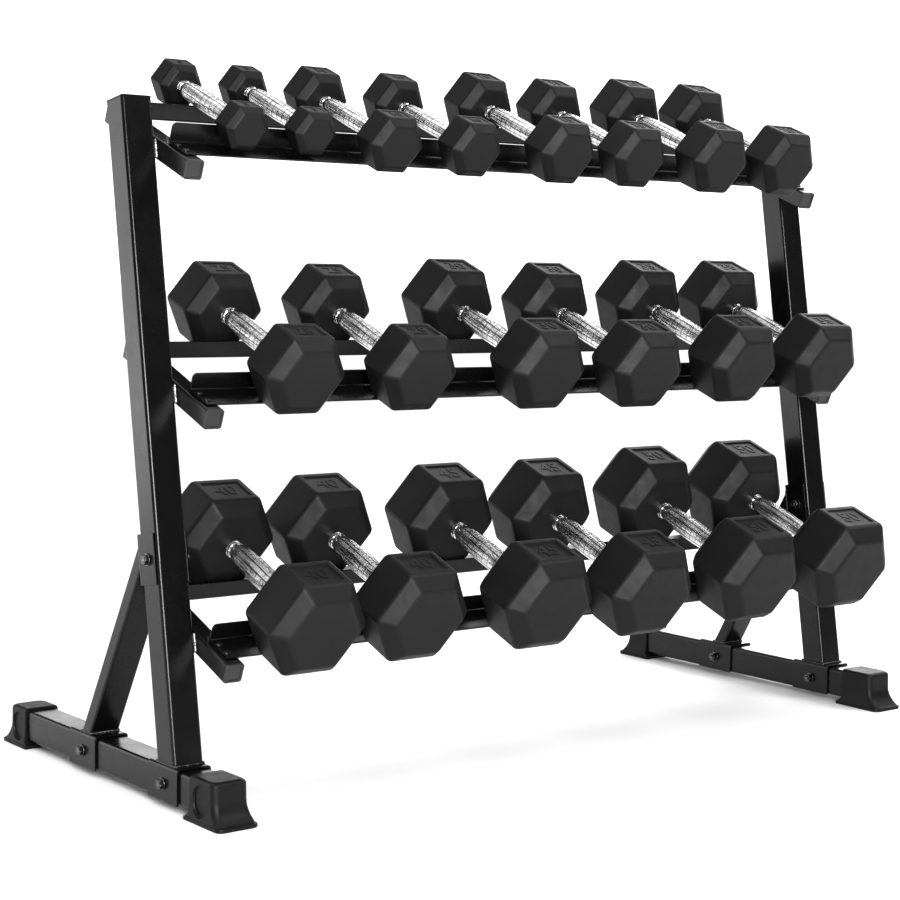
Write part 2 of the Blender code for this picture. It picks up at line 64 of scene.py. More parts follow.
# Frame parts, in metres
TUBE = 0.045
TUBE_WALL = 0.002
TUBE_CORNER = 0.0050
PLATE = 0.003
PLATE_BEND = 0.0048
GAP = 0.0003
BRACE_DEPTH = 0.022
BRACE_WALL = 0.0015
ARM = 0.027
ARM_WALL = 0.0015
ARM_CORNER = 0.0034
RAIL_THICKNESS = 0.0025
RAIL_BEND = 0.0038
RAIL_END_ROUND = 0.0065
CORNER_STEPS = 6
EDGE = 0.00035               # softening of a sawn tube's edge
PLATE_EDGE = 0.0006          # softening of a sheared plate's edge
RAIL_EDGE = 0.0005
WELD_RADIUS = 0.0022
WELD_RIPPLE = 0.0021         # distance between two ripples of a bead
ARM_WELD_RADIUS = 0.0035
WELD_SIDES = 10
CORNER_WAYS = ((1, -1), (1, 1), (-1, 1), (-1, -1))     # round the four corners of a tube
BRACKET_HEIGHT = 0.068       # of the U bracket, along the upright
BRACKET_SETBACK = 0.004      # of its front edges, behind the upright's front face

# Closures
CAP_PLATE = 0.0030
CAP_DOME = 0.0008
ARM_CAP_DISH = 0.0016
REAR_CAP_PLATE = 0.0022
REAR_CAP_DOME = 0.0003
CAP_RIM = 0.0011             # rounding of the cover's rim
CAP_CORNER = 0.0036
STEM_LENGTH = 0.0100
STEM_CORNER = 0.0018
STEM_TAPER = 0.0010

# Fixings
BOLT_RADIUS = 0.004
BOLT_HEX = 0.013             # across the flats of head and nut
BOLT_NUT = 0.0065
BOLT_END = 0.0085            # nut and the thread that stands out of it
WASHER = 0.0015
WASHER_RADIUS = 0.0085
WASHER_EDGE = 0.0004
THREAD_PITCH = 0.00125
SCREW_RADIUS = 0.0052
SCREW_HEIGHT = 0.0027
SCREW_SKIRT = 0.0004         # straight part of the head below its dome
SCREW_SOCKET = 0.0019
SCREW_DOME = math.radians(62)
SCREW_SHARES = (0.32, 0.76)  # where the two screws sit across a rail's flange

# Boots
BOOT_FLARE = 0.020           # how far the toe reaches past the gripped length
BOOT_STOP = 0.004
BOOT_HEEL = 0.008
BOOT_SOLE = 0.0055
BOOT_FLARE_TOP = 0.036
BOOT_SIDE_FLARE = 0.0045
BOOT_TOP_ROUND = 0.0055
BOOT_LIP_CORNER = 0.0016
BOOT_END_CORNER = 0.0095
BOOT_SWEEP = 2.3             # power of the curve from the flare up to the body
BOOT_STEPS = 11
BOOT_TOP_DRAFT = 0.0006      # how far the outer end's top lies inside the gripped length
BOOT_DISH = (0.035, 0.041, 0.0032)      # width, height and depth of the oval on the side
BOOT_DISH_PLACE = 0.45       # along the gripped length
BOOT_DISH_HEIGHT = 0.0298
BOOT_DISH_FLOOR = 0.0028     # from the boot's side in to the dish's floor

# Dumbbells
HEAD_LENGTH_RATIO = 0.734    # head length over its size across flats
HEAD_CHAMFER_RATIO = 0.14
HEAD_ROUND_RATIO = 0.029
PANEL_RATIO = 0.017          # depth of the recess on each head over its size
PANEL_BORDER_RATIO = 0.05
FIGURE_HEIGHT_RATIO = 0.19
FIGURE_DEPTH = 0.0007
FIGURE_RISE = 0.3            # share of their depth by which the figures' middle is above the panel
CAPITAL_SHARE = 0.7          # height of a figure over its type size
HANDLE_SINK = 0.006
COLLAR_RATIO = 0.78          # radii over the grip's own
NECK_RATIO = 0.66
GRIP_TAIL_RATIO = 0.88
COLLAR_LENGTH = 0.0065
NECK_LENGTH = 0.0100
COLLAR_ROUND = 0.0010
COLLAR_GROOVE = ((0.0040, 0.0), (0.0036, -0.0007), (0.0022, -0.0007), (0.0018, 0.0002))
SHOULDER_LENGTH = 0.0014     # from the grip's end down to the neck
HANDLE_STEPS = 12
HANDLE_SIDES = 48
GRIP_KNURL_END = 0.0540
GRIP_BARS = 12               # lengthwise bars round the grip, parted by valleys with painted shade
GRIP_BREAK = 0.0125          # from one cross break of the bars to the next
KNURL_ROWS = 22.0            # two opposed helices cross into diamonds: turns round the grip
KNURL_ALONG = 1750.0         # and radians for each metre along it
FIRST_WEIGHT = 5             # the pairs go up in equal steps from the lightest
WEIGHT_STEP = 5
TIERS = ("top", "middle", "bottom")
TIER_COUNTS = {"top": 8, "middle": 6, "bottom": 6}
LIGHTEST_PAIR = {"top": 0, "middle": 4, "bottom": 7}
SIDES = {"left": -1, "right": 1}

# Camera: its place, its turn, downward tilt and roll, and its lens and sensor in millimetres
CAMERA_PLACE = (-1.9286, -2.3851, 0.7001)
YAW = math.radians(37.866)
PITCH = math.radians(5.0)
ROLL = math.radians(0.841)
LENS = 79.87
SENSOR = 36

# Studio: the backdrop's direction and brightness, the room's, and the softboxes
BACKDROP_DIRECTION = (0.60, 0.80, 0.0)
BACKDROP_GLOW = 0.95
BACKGROUND_SEEN = 1.6        # the plain background, where the camera sees it directly
BAND_GLOWS = (1.6, 6.2)      # at the left and at the right of the backdrop
UPPER_DIRECTION = (0.63, 0.42, 0.65)
UPPER_GLOW = 2.6
ROOM_GLOW = 0.085
CONTRAST = 0.85
CEILING_POWER = 3.1
CEILING_SPREAD = math.radians(95)
STUDIO_LIGHTS = (
    ("key_by_camera", (-1.9, -3.1, 1.05), (0, 0, 0.5), (1.3, 1.5), 190),
    ("side_right", (2.0, 0.08, 0.95), (0, 0.08, 0.95), (1.35, 1.3), 6),
    ("wall_left", (-2.6, 2.9, 1.0), (-0.6, 0, 0.6), (2.6, 2.4), 52),
    ("front_right", (2.2, -1.9, 2.8), (0, 0, 0.5), (1.4, 1.4), 40),
    ("high_right", (2.0, 1.2, 1.85), (0.5, -0.1, 0.4), (1.0, 1.0), 9),
)


# ---------------------------------------------------------------- measuring the frame

def span(node, direction):
    """Lowest and highest reach of a CAD node along a direction."""
    values = [vertex.co.dot(direction) for vertex in frame["nodes"][node].data.vertices]
    return min(values), max(values)


def measured(node, axes):
    """Middle and size of a CAD node along three square directions."""
    spans = [span(node, axis) for axis in axes]
    middle = sum((axis * (low + high) / 2 for axis, (low, high) in zip(axes, spans)), Vector())
    return middle, Vector([high - low for low, high in spans])


def placed(origin, first, second, third):
    """Matrix that takes local X, Y and Z to three directions at an origin."""
    rotation = Matrix((first, second, third)).transposed().to_4x4()
    return Matrix.Translation(origin) @ rotation


TIER_AXES = (ACROSS, BACK, LIFT)
REAR = Vector((0, 1, 0))
UP = Vector((0, 0, 1))
WORLD_AXES = (ACROSS, REAR, UP)
UPRIGHT_UP = Vector((0, math.sin(UPRIGHT_LEAN), math.cos(UPRIGHT_LEAN)))
UPRIGHT_BACK = Vector((0, math.cos(UPRIGHT_LEAN), -math.sin(UPRIGHT_LEAN)))
BRACE_UP = Vector((0, -math.sin(BRACE_LEAN), math.cos(BRACE_LEAN)))
BRACE_BACK = Vector((0, math.cos(BRACE_LEAN), math.sin(BRACE_LEAN)))


# ---------------------------------------------------------------- materials

class Nodes:
    """Short way to build the node tree of a material or a world."""

    def __init__(self, owner, shader="Principled BSDF"):
        owner.use_nodes = True
        self.owner = owner
        self.tree = owner.node_tree
        self.shader = self.tree.nodes[shader]

    def add(self, kind, settings=None, **inputs):
        node = self.tree.nodes.new(kind)
        for key, value in (settings or {}).items():
            setattr(node, key, value)
        for key, value in inputs.items():
            self.feed(node, key.replace("_", " "), value)
        return node

    def feed(self, node, socket, value):
        if isinstance(value, bpy.types.NodeSocket):
            self.tree.links.new(value, node.inputs[socket])
        else:
            node.inputs[socket].default_value = value

    def math(self, operation, first, second=0.0):
        node = self.tree.nodes.new("ShaderNodeMath")
        node.operation = operation
        for index, value in enumerate((first, second)):
            self.feed(node, index, value)
        return node.outputs[0]

    def noise(self, coordinates, scale, detail=3.0, roughness=0.5):
        node = self.add("ShaderNodeTexNoise", Scale=scale, Detail=detail, Roughness=roughness,
                        Vector=coordinates)
        return node.outputs["Fac"]

    def ramp(self, value, *stops):
        """Colour ramp with (place, colour) stops; a colour may be one grey number."""
        node = self.tree.nodes.new("ShaderNodeValToRGB")
        elements = node.color_ramp.elements
        while len(elements) < len(stops):
            elements.new(0.5)
        for element, (place, colour) in zip(elements, stops):
            element.position = place
            grey = isinstance(colour, (int, float))
            element.color = (colour, colour, colour, 1) if grey else (*colour, 1)
        self.feed(node, "Fac", value)
        return node.outputs["Color"]

    def range(self, value, low, high, to_low, to_high, kind="LINEAR"):
        node = self.add("ShaderNodeMapRange", {"interpolation_type": kind})
        for socket, item in zip(("Value", "From Min", "From Max", "To Min", "To Max"),
                                (value, low, high, to_low, to_high)):
            self.feed(node, socket, item)
        return node.outputs["Result"]

    def bump(self, height, distance, strength, below=None):
        node = self.add("ShaderNodeBump", Strength=strength, Distance=distance, Height=height)
        if below is not None:
            self.feed(node, "Normal", below)
        return node.outputs["Normal"]

    def facing(self, toward, direction):
        node = self.add("ShaderNodeVectorMath", {"operation": "DOT_PRODUCT"})
        self.feed(node, 0, toward)
        self.feed(node, 1, direction)
        return node.outputs["Value"]

    def object_space(self):
        return self.add("ShaderNodeTexCoord").outputs["Object"]

    def shaded(self, **values):
        """Feed sockets of the shader, and give the material or world back."""
        for key, value in values.items():
            self.feed(self.shader, key.replace("_", " "), value)
        return self.owner


def new_material(name):
    return Nodes(bpy.data.materials.new(name))


def grey(value, tint=0.0):
    """A grey that leans a little towards blue."""
    return (value, value, value * (1 + tint))


def powder_coat(name, smooth, dull, sheen):
    """Semi-gloss black powder coat: orange peel, and a little dust in its sheen."""
    nodes = new_material(name)
    place = nodes.object_space()
    cloud = nodes.noise(place, 9.0, 4.0)
    colour = nodes.ramp(cloud, (0.3, grey(0.0026)), (0.7, grey(0.0042)))
    roughness = nodes.range(nodes.noise(place, 26.0, 5.0, 0.6), 0.3, 0.7, smooth, dull)
    peel = nodes.bump(nodes.noise(place, 420.0, 1.0), 0.00005, 0.12)
    return nodes.shaded(Base_Color=colour, Roughness=roughness, Normal=peel, Specular_IOR_Level=sheen)


def head_rubber():
    """Moulded rubber skin of the heads: fine grain, soft scuffs and mottled sheen."""
    nodes = new_material("head_rubber")
    place = nodes.object_space()
    cloud = nodes.noise(place, 14.0, 5.0, 0.62)
    speckle = nodes.noise(place, 900.0, 2.0)
    mottled = nodes.math("ADD", nodes.math("MULTIPLY", cloud, 0.8), nodes.math("MULTIPLY", speckle, 0.2))
    colour = nodes.ramp(mottled, (0.32, grey(0.0052)), (0.55, grey(0.0071)), (0.75, grey(0.0096)))
    scuffs = nodes.range(nodes.noise(place, 55.0, 6.0, 0.7), 0.3, 0.7, 0.44, 0.58)
    swell = nodes.bump(nodes.noise(place, 60.0, 2.0), 0.0004, 0.25)
    grain = nodes.bump(nodes.noise(place, 1900.0, 3.0, 0.6), 0.00006, 0.55, swell)
    return nodes.shaded(Base_Color=colour, Roughness=scuffs, Normal=grain, Specular_IOR_Level=0.27)


def boot_rubber():
    """Denser moulded rubber of the boots."""
    nodes = new_material("boot_rubber_black")
    place = nodes.object_space()
    colour = nodes.ramp(nodes.noise(place, 24.0, 5.0, 0.6), (0.3, grey(0.0052)), (0.7, grey(0.0085)))
    roughness = nodes.range(nodes.noise(place, 90.0, 4.0), 0.3, 0.7, 0.40, 0.52)
    grain = nodes.bump(nodes.noise(place, 1500.0, 3.0, 0.6), 0.00006, 0.6)
    return nodes.shaded(Base_Color=colour, Roughness=roughness, Normal=grain, Specular_IOR_Level=0.22)


def moulded_plastic():
    """Matt plastic of the push-in closures, with a spark-eroded grain."""
    nodes = new_material("closure_plastic")
    place = nodes.object_space()
    colour = nodes.ramp(nodes.noise(place, 40.0, 3.0), (0.3, grey(0.022)), (0.7, grey(0.029)))
    roughness = nodes.range(nodes.noise(place, 120.0), 0.3, 0.7, 0.42, 0.52)
    grain = nodes.bump(nodes.noise(place, 2200.0, 2.0), 0.00005, 0.6)
    return nodes.shaded(Base_Color=colour, Roughness=roughness, Normal=grain)


def rubbed_steel(name, dark, bright, polished):
    """Blackened steel with rubbed, brighter high spots: bolts, screws and thinly coated welds; on the arm
    welds the lighter colour is a painted highlight standing in for their glints.
    """
    nodes = new_material(name)
    place = nodes.object_space()
    rubbed = nodes.noise(place, 260.0, 4.0, 0.6)
    colour = nodes.ramp(rubbed, (0.35, grey(dark)), (0.8, grey(bright)))
    roughness = nodes.range(rubbed, 0.3, 0.7, polished, polished + 0.12)
    grain = nodes.bump(nodes.noise(place, 1800.0), 0.00003, 0.4)
    return nodes.shaded(Base_Color=colour, Roughness=roughness, Normal=grain, Metallic=1.0)


def knurled_chrome():
    """Chromed handle: polished collars, and lengthwise bars with a fine diamond knurl on
    the grip. Its colour holds painted lengthwise reflection streaks mixed with random wear,
    and painted shade in the valleys between the bars. The handle's axis is the piece's own Z.
    """
    nodes = new_material("knurled_chrome")
    place = nodes.object_space()
    parts = nodes.add("ShaderNodeSeparateXYZ", Vector=place)
    x, y, z = parts.outputs
    turn = nodes.math("ARCTAN2", y, x)
    around = nodes.math("MULTIPLY", turn, KNURL_ROWS)
    along = nodes.math("MULTIPLY", z, KNURL_ALONG)
    one = nodes.math("ABSOLUTE", nodes.math("SINE", nodes.math("ADD", along, around)))
    other = nodes.math("ABSOLUTE", nodes.math("SINE", nodes.math("SUBTRACT", along, around)))
    diamonds = nodes.math("MINIMUM", one, other)
    distance = nodes.math("ABSOLUTE", z)
    on_grip = nodes.range(distance, GRIP_KNURL_END - 0.0006, GRIP_KNURL_END, 1.0, 0.0)
    knurl = nodes.math("MULTIPLY", diamonds, on_grip)
    lengthwise = nodes.add("ShaderNodeVectorMath", {"operation": "MULTIPLY"})
    nodes.feed(lengthwise, 0, place)
    nodes.feed(lengthwise, 1, (1.0, 1.0, 0.07))
    # Painted reflection: lengthwise streaks of light and dark in the chrome's colour, mixed below with random
    # wear
    painted_reflection_streaks = nodes.noise(lengthwise.outputs[0], 300.0, 3.0, 0.6)
    worn = nodes.noise(place, 330.0, 4.0, 0.65)
    painted_light_and_wear = nodes.math("ADD", nodes.math("MULTIPLY", painted_reflection_streaks, 0.6), nodes.math("MULTIPLY", worn, 0.4))
    bars = nodes.math("ABSOLUTE", nodes.math("SINE", nodes.math("MULTIPLY", turn, GRIP_BARS / 2)))
    breaks = nodes.math("ABSOLUTE", nodes.math("SINE", nodes.math("MULTIPLY", z, math.pi / GRIP_BREAK)))
    edge = nodes.math("MINIMUM", bars, nodes.math("MULTIPLY", breaks, 2.2))
    valley = nodes.math("MULTIPLY", nodes.range(edge, 0.10, 0.42, 1.0, 0.0), on_grip)
    # Painted shade: the base colour is darker in the valleys between the bars
    painted_light_and_wear = nodes.math("SUBTRACT", painted_light_and_wear, nodes.math("MULTIPLY", valley, 0.22))
    tone = nodes.ramp(painted_light_and_wear, (0.26, grey(0.05)), (0.40, grey(0.42, 0.01)), (0.52, grey(0.88, 0.01)))
    polish = nodes.range(worn, 0.3, 0.7, 0.08, 0.16)
    roughness = nodes.math("ADD", polish, nodes.math("MULTIPLY", on_grip, 0.10))
    ridges = nodes.bump(nodes.math("SUBTRACT", 1.0, valley), 0.0006, 0.45)
    relief = nodes.bump(knurl, 0.0004, 0.35, ridges)
    return nodes.shaded(Base_Color=tone, Roughness=roughness, Normal=relief, Metallic=1.0)


def floor_paint():
    """Matt, pale studio floor."""
    nodes = new_material("studio_floor")
    place = nodes.object_space()
    colour = nodes.ramp(nodes.noise(place, 1.5, 3.0), (0.3, grey(0.86)), (0.7, grey(0.88)))
    return nodes.shaded(Base_Color=colour, Roughness=0.9, Specular_IOR_Level=0.1)


# ---------------------------------------------------------------- mesh building

def finished(shape, name):
    """Turn a bmesh into a mesh with its faces pointing out."""
    bmesh.ops.recalc_face_normals(shape, faces=shape.faces)
    mesh = bpy.data.meshes.new(name)
    shape.to_mesh(mesh)
    shape.free()
    return mesh


def rounded_rectangle(width, height, radius, centre=(0, 0), steps=CORNER_STEPS):
    """Corner arcs of a rectangle, counter-clockwise."""
    points = []
    for corner in range(4):
        side_u = 1 if corner in (0, 3) else -1
        side_v = 1 if corner in (0, 1) else -1
        middle_u = centre[0] + side_u * (width / 2 - radius)
        middle_v = centre[1] + side_v * (height / 2 - radius)
        for step in range(steps + 1):
            angle = (corner + step / steps) * math.pi / 2
            points.append((middle_u + radius * math.cos(angle), middle_v + radius * math.sin(angle)))
    return points


def ring_of(shape, points, level):
    """A ring of vertices over outline points, at a height or on a sloping cut."""
    heights = [level(u, v) if callable(level) else level for u, v in points]
    return [shape.verts.new((u, v, w)) for (u, v), w in zip(points, heights)]


def skin(shape, lower, upper):
    """Quads between two rings of the same length."""
    count = len(lower)
    for index in range(count):
        after = (index + 1) % count
        shape.faces.new((lower[index], lower[after], upper[after], upper[index]))


def capped(shape, rings):
    """Skin a stack of rings and close both ends."""
    for lower, upper in zip(rings, rings[1:]):
        skin(shape, lower, upper)
    shape.faces.new(rings[0][::-1])
    shape.faces.new(rings[-1])
    return shape


def stacked(levels):
    """A closed shape through (outline, height) levels, bottom to top."""
    shape = bmesh.new()
    return capped(shape, [ring_of(shape, outline, height) for outline, height in levels])


def prism(outline, low, high, hole=None):
    """A closed bar over an outline, or a closed tube when a matching hole is given."""
    if not hole:
        return finished(stacked([(outline, low), (outline, high)]), "prism")
    shape = bmesh.new()
    bottom = ring_of(shape, outline, low)
    top = ring_of(shape, outline, high)
    hole_bottom = ring_of(shape, hole, low)
    hole_top = ring_of(shape, hole, high)
    skin(shape, bottom, top)
    skin(shape, hole_top, hole_bottom)
    skin(shape, hole_bottom, bottom)
    skin(shape, top, hole_top)
    return finished(shape, "prism")


def box_tube(width, height, wall, corner, low, high):
    outer = rounded_rectangle(width, height, corner)
    inner = rounded_rectangle(width - 2 * wall, height - 2 * wall, max(corner - wall, 0.0006))
    return prism(outer, low, high, inner)


def circle(radius, count):
    angles = [2 * math.pi * index / count for index in range(count)]
    return [(radius * math.cos(angle), radius * math.sin(angle)) for angle in angles]


def quarter_turn(steps):
    """Angles from nothing to a quarter turn, both ends included."""
    return [step / steps * math.pi / 2 for step in range(steps + 1)]


def hexagon(across):
    return circle(across / math.sqrt(3), 6)


def arc(centre, radius, start, end, steps=CORNER_STEPS):
    """Points of an arc, with the angles in quarter turns."""
    points = []
    for step in range(steps + 1):
        angle = (start + (end - start) * step / steps) * math.pi / 2
        points.append((centre[0] + radius * math.cos(angle), centre[1] + radius * math.sin(angle)))
    return points


def channel_outline(inner, plate, low, web):
    """A folded channel: two sides from v = low up to a web whose inside is at v = web."""
    outer = inner + plate
    top = web + plate
    fold = PLATE_BEND
    tight = PLATE_BEND - plate + 0.0004
    points = [(-outer, low), (-inner, low)]
    points += arc((-inner + tight, web - tight), tight, 2, 1)
    points += arc((inner - tight, web - tight), tight, 1, 0)
    points += [(inner, low), (outer, low)]
    points += arc((outer - fold, top - fold), fold, 0, 1)
    points += arc((-outer + fold, top - fold), fold, 1, 2)
    return points


def turned(profile, segments):
    """A closed turned shape about Z; the profile is (radius, height), bottom to top."""
    return finished(stacked([(circle(radius, segments), height) for radius, height in profile]), "turned")


def joined(parts):
    """One mesh from (mesh, matrix) pairs."""
    shape = bmesh.new()
    for mesh, matrix in parts:
        copy = mesh.copy()
        copy.transform(matrix)
        shape.from_mesh(copy)
        bpy.data.meshes.remove(copy)
    mesh = bpy.data.meshes.new("joined")
    shape.to_mesh(mesh)
    shape.free()
    return mesh


def evaluated(obj):
    """Mesh of an object with its modifiers applied; the object is removed."""
    bpy.context.view_layer.update()
    source = obj.evaluated_get(bpy.context.evaluated_depsgraph_get())
    mesh = bpy.data.meshes.new_from_object(source)
    bpy.data.objects.remove(obj, do_unlink=True)
    return mesh


def temporary(mesh, matrix=Matrix.Identity(4)):
    obj = bpy.data.objects.new("temporary", mesh)
    obj.matrix_world = matrix
    SCENE.collection.objects.link(obj)
    return obj


def carved(mesh, cutters):
    """A mesh with (mesh, matrix) cutters taken out of it."""
    obj = temporary(mesh)
    tools = []
    for cutter, matrix in cutters:
        tool = temporary(cutter, matrix)
        modifier = obj.modifiers.new("cut", "BOOLEAN")
        modifier.operation = "DIFFERENCE"
        modifier.solver = "EXACT"
        modifier.object = tool
        tools.append(tool)
    result = evaluated(obj)
    for tool in tools:
        bpy.data.objects.remove(tool, do_unlink=True)
    return result


def add_piece(name, mesh, matrix, material, body, nodes=(), edge=0.0, crease=38):
    """A visible piece: softened edges, even shading, its material, body and CAD nodes."""
    obj = bpy.data.objects.new(name, mesh)
    obj.matrix_world = matrix
    SCENE.collection.objects.link(obj)
    if not mesh.materials:
        mesh.materials.append(material)
    mesh.shade_smooth()
    if edge:
        bevel = obj.modifiers.new("soft_edges", "BEVEL")
        bevel.width = edge
        bevel.segments = 2
        bevel.limit_method = "ANGLE"
        bevel.angle_limit = math.radians(crease)
    else:
        mesh.set_sharp_from_angle(angle=math.radians(crease))
    weighted = obj.modifiers.new("even_shading", "WEIGHTED_NORMAL")
    weighted.keep_sharp = True
    weighted.weight = 80
    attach(obj, body)
    if nodes:
        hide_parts(*nodes)
    return obj


# ---------------------------------------------------------------- weld beads

def bead(path, closed=False, radius=WELD_RADIUS):
    """A rippled weld bead along straight runs between points."""
    ripple = WELD_RIPPLE * radius / WELD_RADIUS
    points = [Vector(point) for point in path]
    corners = points + points[:1] if closed else points
    samples = []
    travelled = 0.0
    for start, end in zip(corners, corners[1:]):
        length = (end - start).length
        count = max(2, round(length / (ripple / 5)))
        for index in range(count):
            samples.append((start.lerp(end, index / count), travelled + length * index / count))
        travelled += length
    if not closed:
        samples.append((corners[-1], travelled))
    shape = bmesh.new()
    rings = []
    last = len(samples) - 1
    for index, (centre, run) in enumerate(samples):
        before = index - 1 if closed else max(index - 1, 0)
        after = (index + 1) % len(samples) if closed else min(index + 1, last)
        along = (samples[after][0] - samples[before][0]).normalized()
        side = along.orthogonal() if abs(along.x) > 0.9 else along.cross(ACROSS).normalized()
        side.normalize()
        over = along.cross(side)
        swell = 0.80 + 0.20 * abs(math.sin(math.pi * run / ripple)) + 0.06 * math.sin(run * 410)
        if not closed:
            swell *= min(1.0, 0.35 + index / 6, 0.35 + (last - index) / 6)
        ring = []
        for step in range(WELD_SIDES):
            angle = 2 * math.pi * step / WELD_SIDES
            offset = side * math.cos(angle) + over * math.sin(angle)
            ring.append(shape.verts.new(centre + offset * radius * swell))
        rings.append(ring)
    return finished(looped(shape, rings) if closed else capped(shape, rings), "bead")


def looped(shape, rings):
    """Skin a closed loop of rings; the last meets the first at its nearest vertices."""
    for lower, upper in zip(rings, rings[1:]):
        skin(shape, lower, upper)
    first = rings[0]
    last = rings[-1]
    count = len(last)
    shift = min(range(count), key=lambda turn: sum(
        (last[index].co - first[(index + turn) % count].co).length for index in range(count)))
    skin(shape, last, [first[(index + shift) % count] for index in range(count)])
    return shape


def add_weld_ring(name, corners):
    """A coated bead round the end of a tube."""
    add_piece(name, bead(corners, closed=True), Matrix.Identity(4), WELD, "rack",
              crease=60)


# ---------------------------------------------------------------- frame pieces

def add_coated(node, ending, mesh, matrix, edge=EDGE):
    """A powder-coated steel piece of the frame, which stands for one CAD node."""
    add_piece(node + ending, mesh, matrix, COAT, "rack", [node], edge)


def add_uprights_and_bases():
    for word in SIDES:
        add_upright(word)
        add_base_beam(word)
        add_brace(word)
        for where in ("front_saddle_", "rear_saddle_"):
            add_saddle(where + word)


def add_upright(word):
    node = "upright_" + word
    low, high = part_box(node)
    foot = Vector(((low.x + high.x) / 2, low.y, low.z))
    length = (high.z - low.z) / math.cos(UPRIGHT_LEAN)
    matrix = placed(foot + UPRIGHT_BACK * TUBE / 2, ACROSS, UPRIGHT_BACK, UPRIGHT_UP)
    level_cut = math.tan(UPRIGHT_LEAN)
    outer = rounded_rectangle(TUBE, TUBE, TUBE_CORNER)
    inner_size = TUBE - 2 * TUBE_WALL
    inner = rounded_rectangle(inner_size, inner_size, TUBE_CORNER - TUBE_WALL)
    mesh = prism(outer, lambda u, v: (v + TUBE / 2) * level_cut, length, inner)
    add_coated(node, "_tube", mesh, matrix)

    cap = "upright_cap_" + word
    middle, size = measured(cap, (ACROSS, UPRIGHT_BACK, UPRIGHT_UP))
    top = middle + UPRIGHT_UP * (size.z / 2 - PLATE)
    plug = plug_mesh(TUBE, TUBE_WALL, CAP_PLATE, CAP_DOME)
    add_piece(cap + "_plug", plug, placed(top, ACROSS, UPRIGHT_BACK, UPRIGHT_UP), COAT, "rack",
              [cap])

    run = TUBE / 2 - TUBE_CORNER * 0.4 + 0.0014
    half = TUBE / math.cos(UPRIGHT_LEAN) / 2
    centre = foot + Vector((0, half, 0.0004))
    path = [centre + Vector((sx * run, sy * (half + 0.0002), 0)) for sx, sy in CORNER_WAYS]
    add_weld_ring("weld_upright_foot_" + word, path)


def plug_mesh(size, wall, plate, dome):
    """A push-in closure: a stem, and a cover with a rounded rim and a domed or sunk middle."""
    rim_top = plate - max(dome, 0)
    stem = size - 2 * wall - 2 * GAP
    levels = [(stem - 0.0012, 0.0014, -STEM_LENGTH), (stem, STEM_CORNER, STEM_TAPER - STEM_LENGTH),
              (stem, STEM_CORNER, -0.00001), (size, CAP_CORNER, 0.0)]
    for angle in quarter_turn(4):
        inset = 2 * CAP_RIM * (1 - math.cos(angle))
        height = rim_top - CAP_RIM + CAP_RIM * math.sin(angle)
        levels.append((size - inset, CAP_CORNER - inset / 2, height))
    domed = ((0.72, 0.6), (0.40, 0.92), (0.12, 1.0))
    sunk = ((0.78, 0.0), (0.73, 1.0), (0.12, 1.0))
    for share, rise in domed if dome > 0 else sunk:
        levels.append((size * share, 0.0024 * share + 0.0004, rim_top + dome * rise))
    outlines = [(rounded_rectangle(width, width, corner), height) for width, corner, height in levels]
    return finished(stacked(outlines), "plug")


def add_base_beam(word):
    node = "base_beam_" + word
    middle, size = measured(node, WORLD_AXES)
    half = size.y / 2
    mesh = box_tube(TUBE, TUBE, TUBE_WALL, TUBE_CORNER, -half, half)
    matrix = placed(middle, UP, ACROSS, REAR)
    add_coated(node, "_tube", mesh, matrix)


def add_saddle(node):
    low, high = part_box(node)
    middle = (low + high) / 2
    inner = TUBE / 2 + GAP
    half = (high.y - low.y) / 2
    outline = channel_outline(inner, PLATE, low.z, high.z - PLATE)
    mesh = prism(outline, -half, half)
    matrix = placed(Vector((middle.x, middle.y, 0)), -ACROSS, UP, REAR)
    add_coated(node, "_plate", mesh, matrix, PLATE_EDGE)


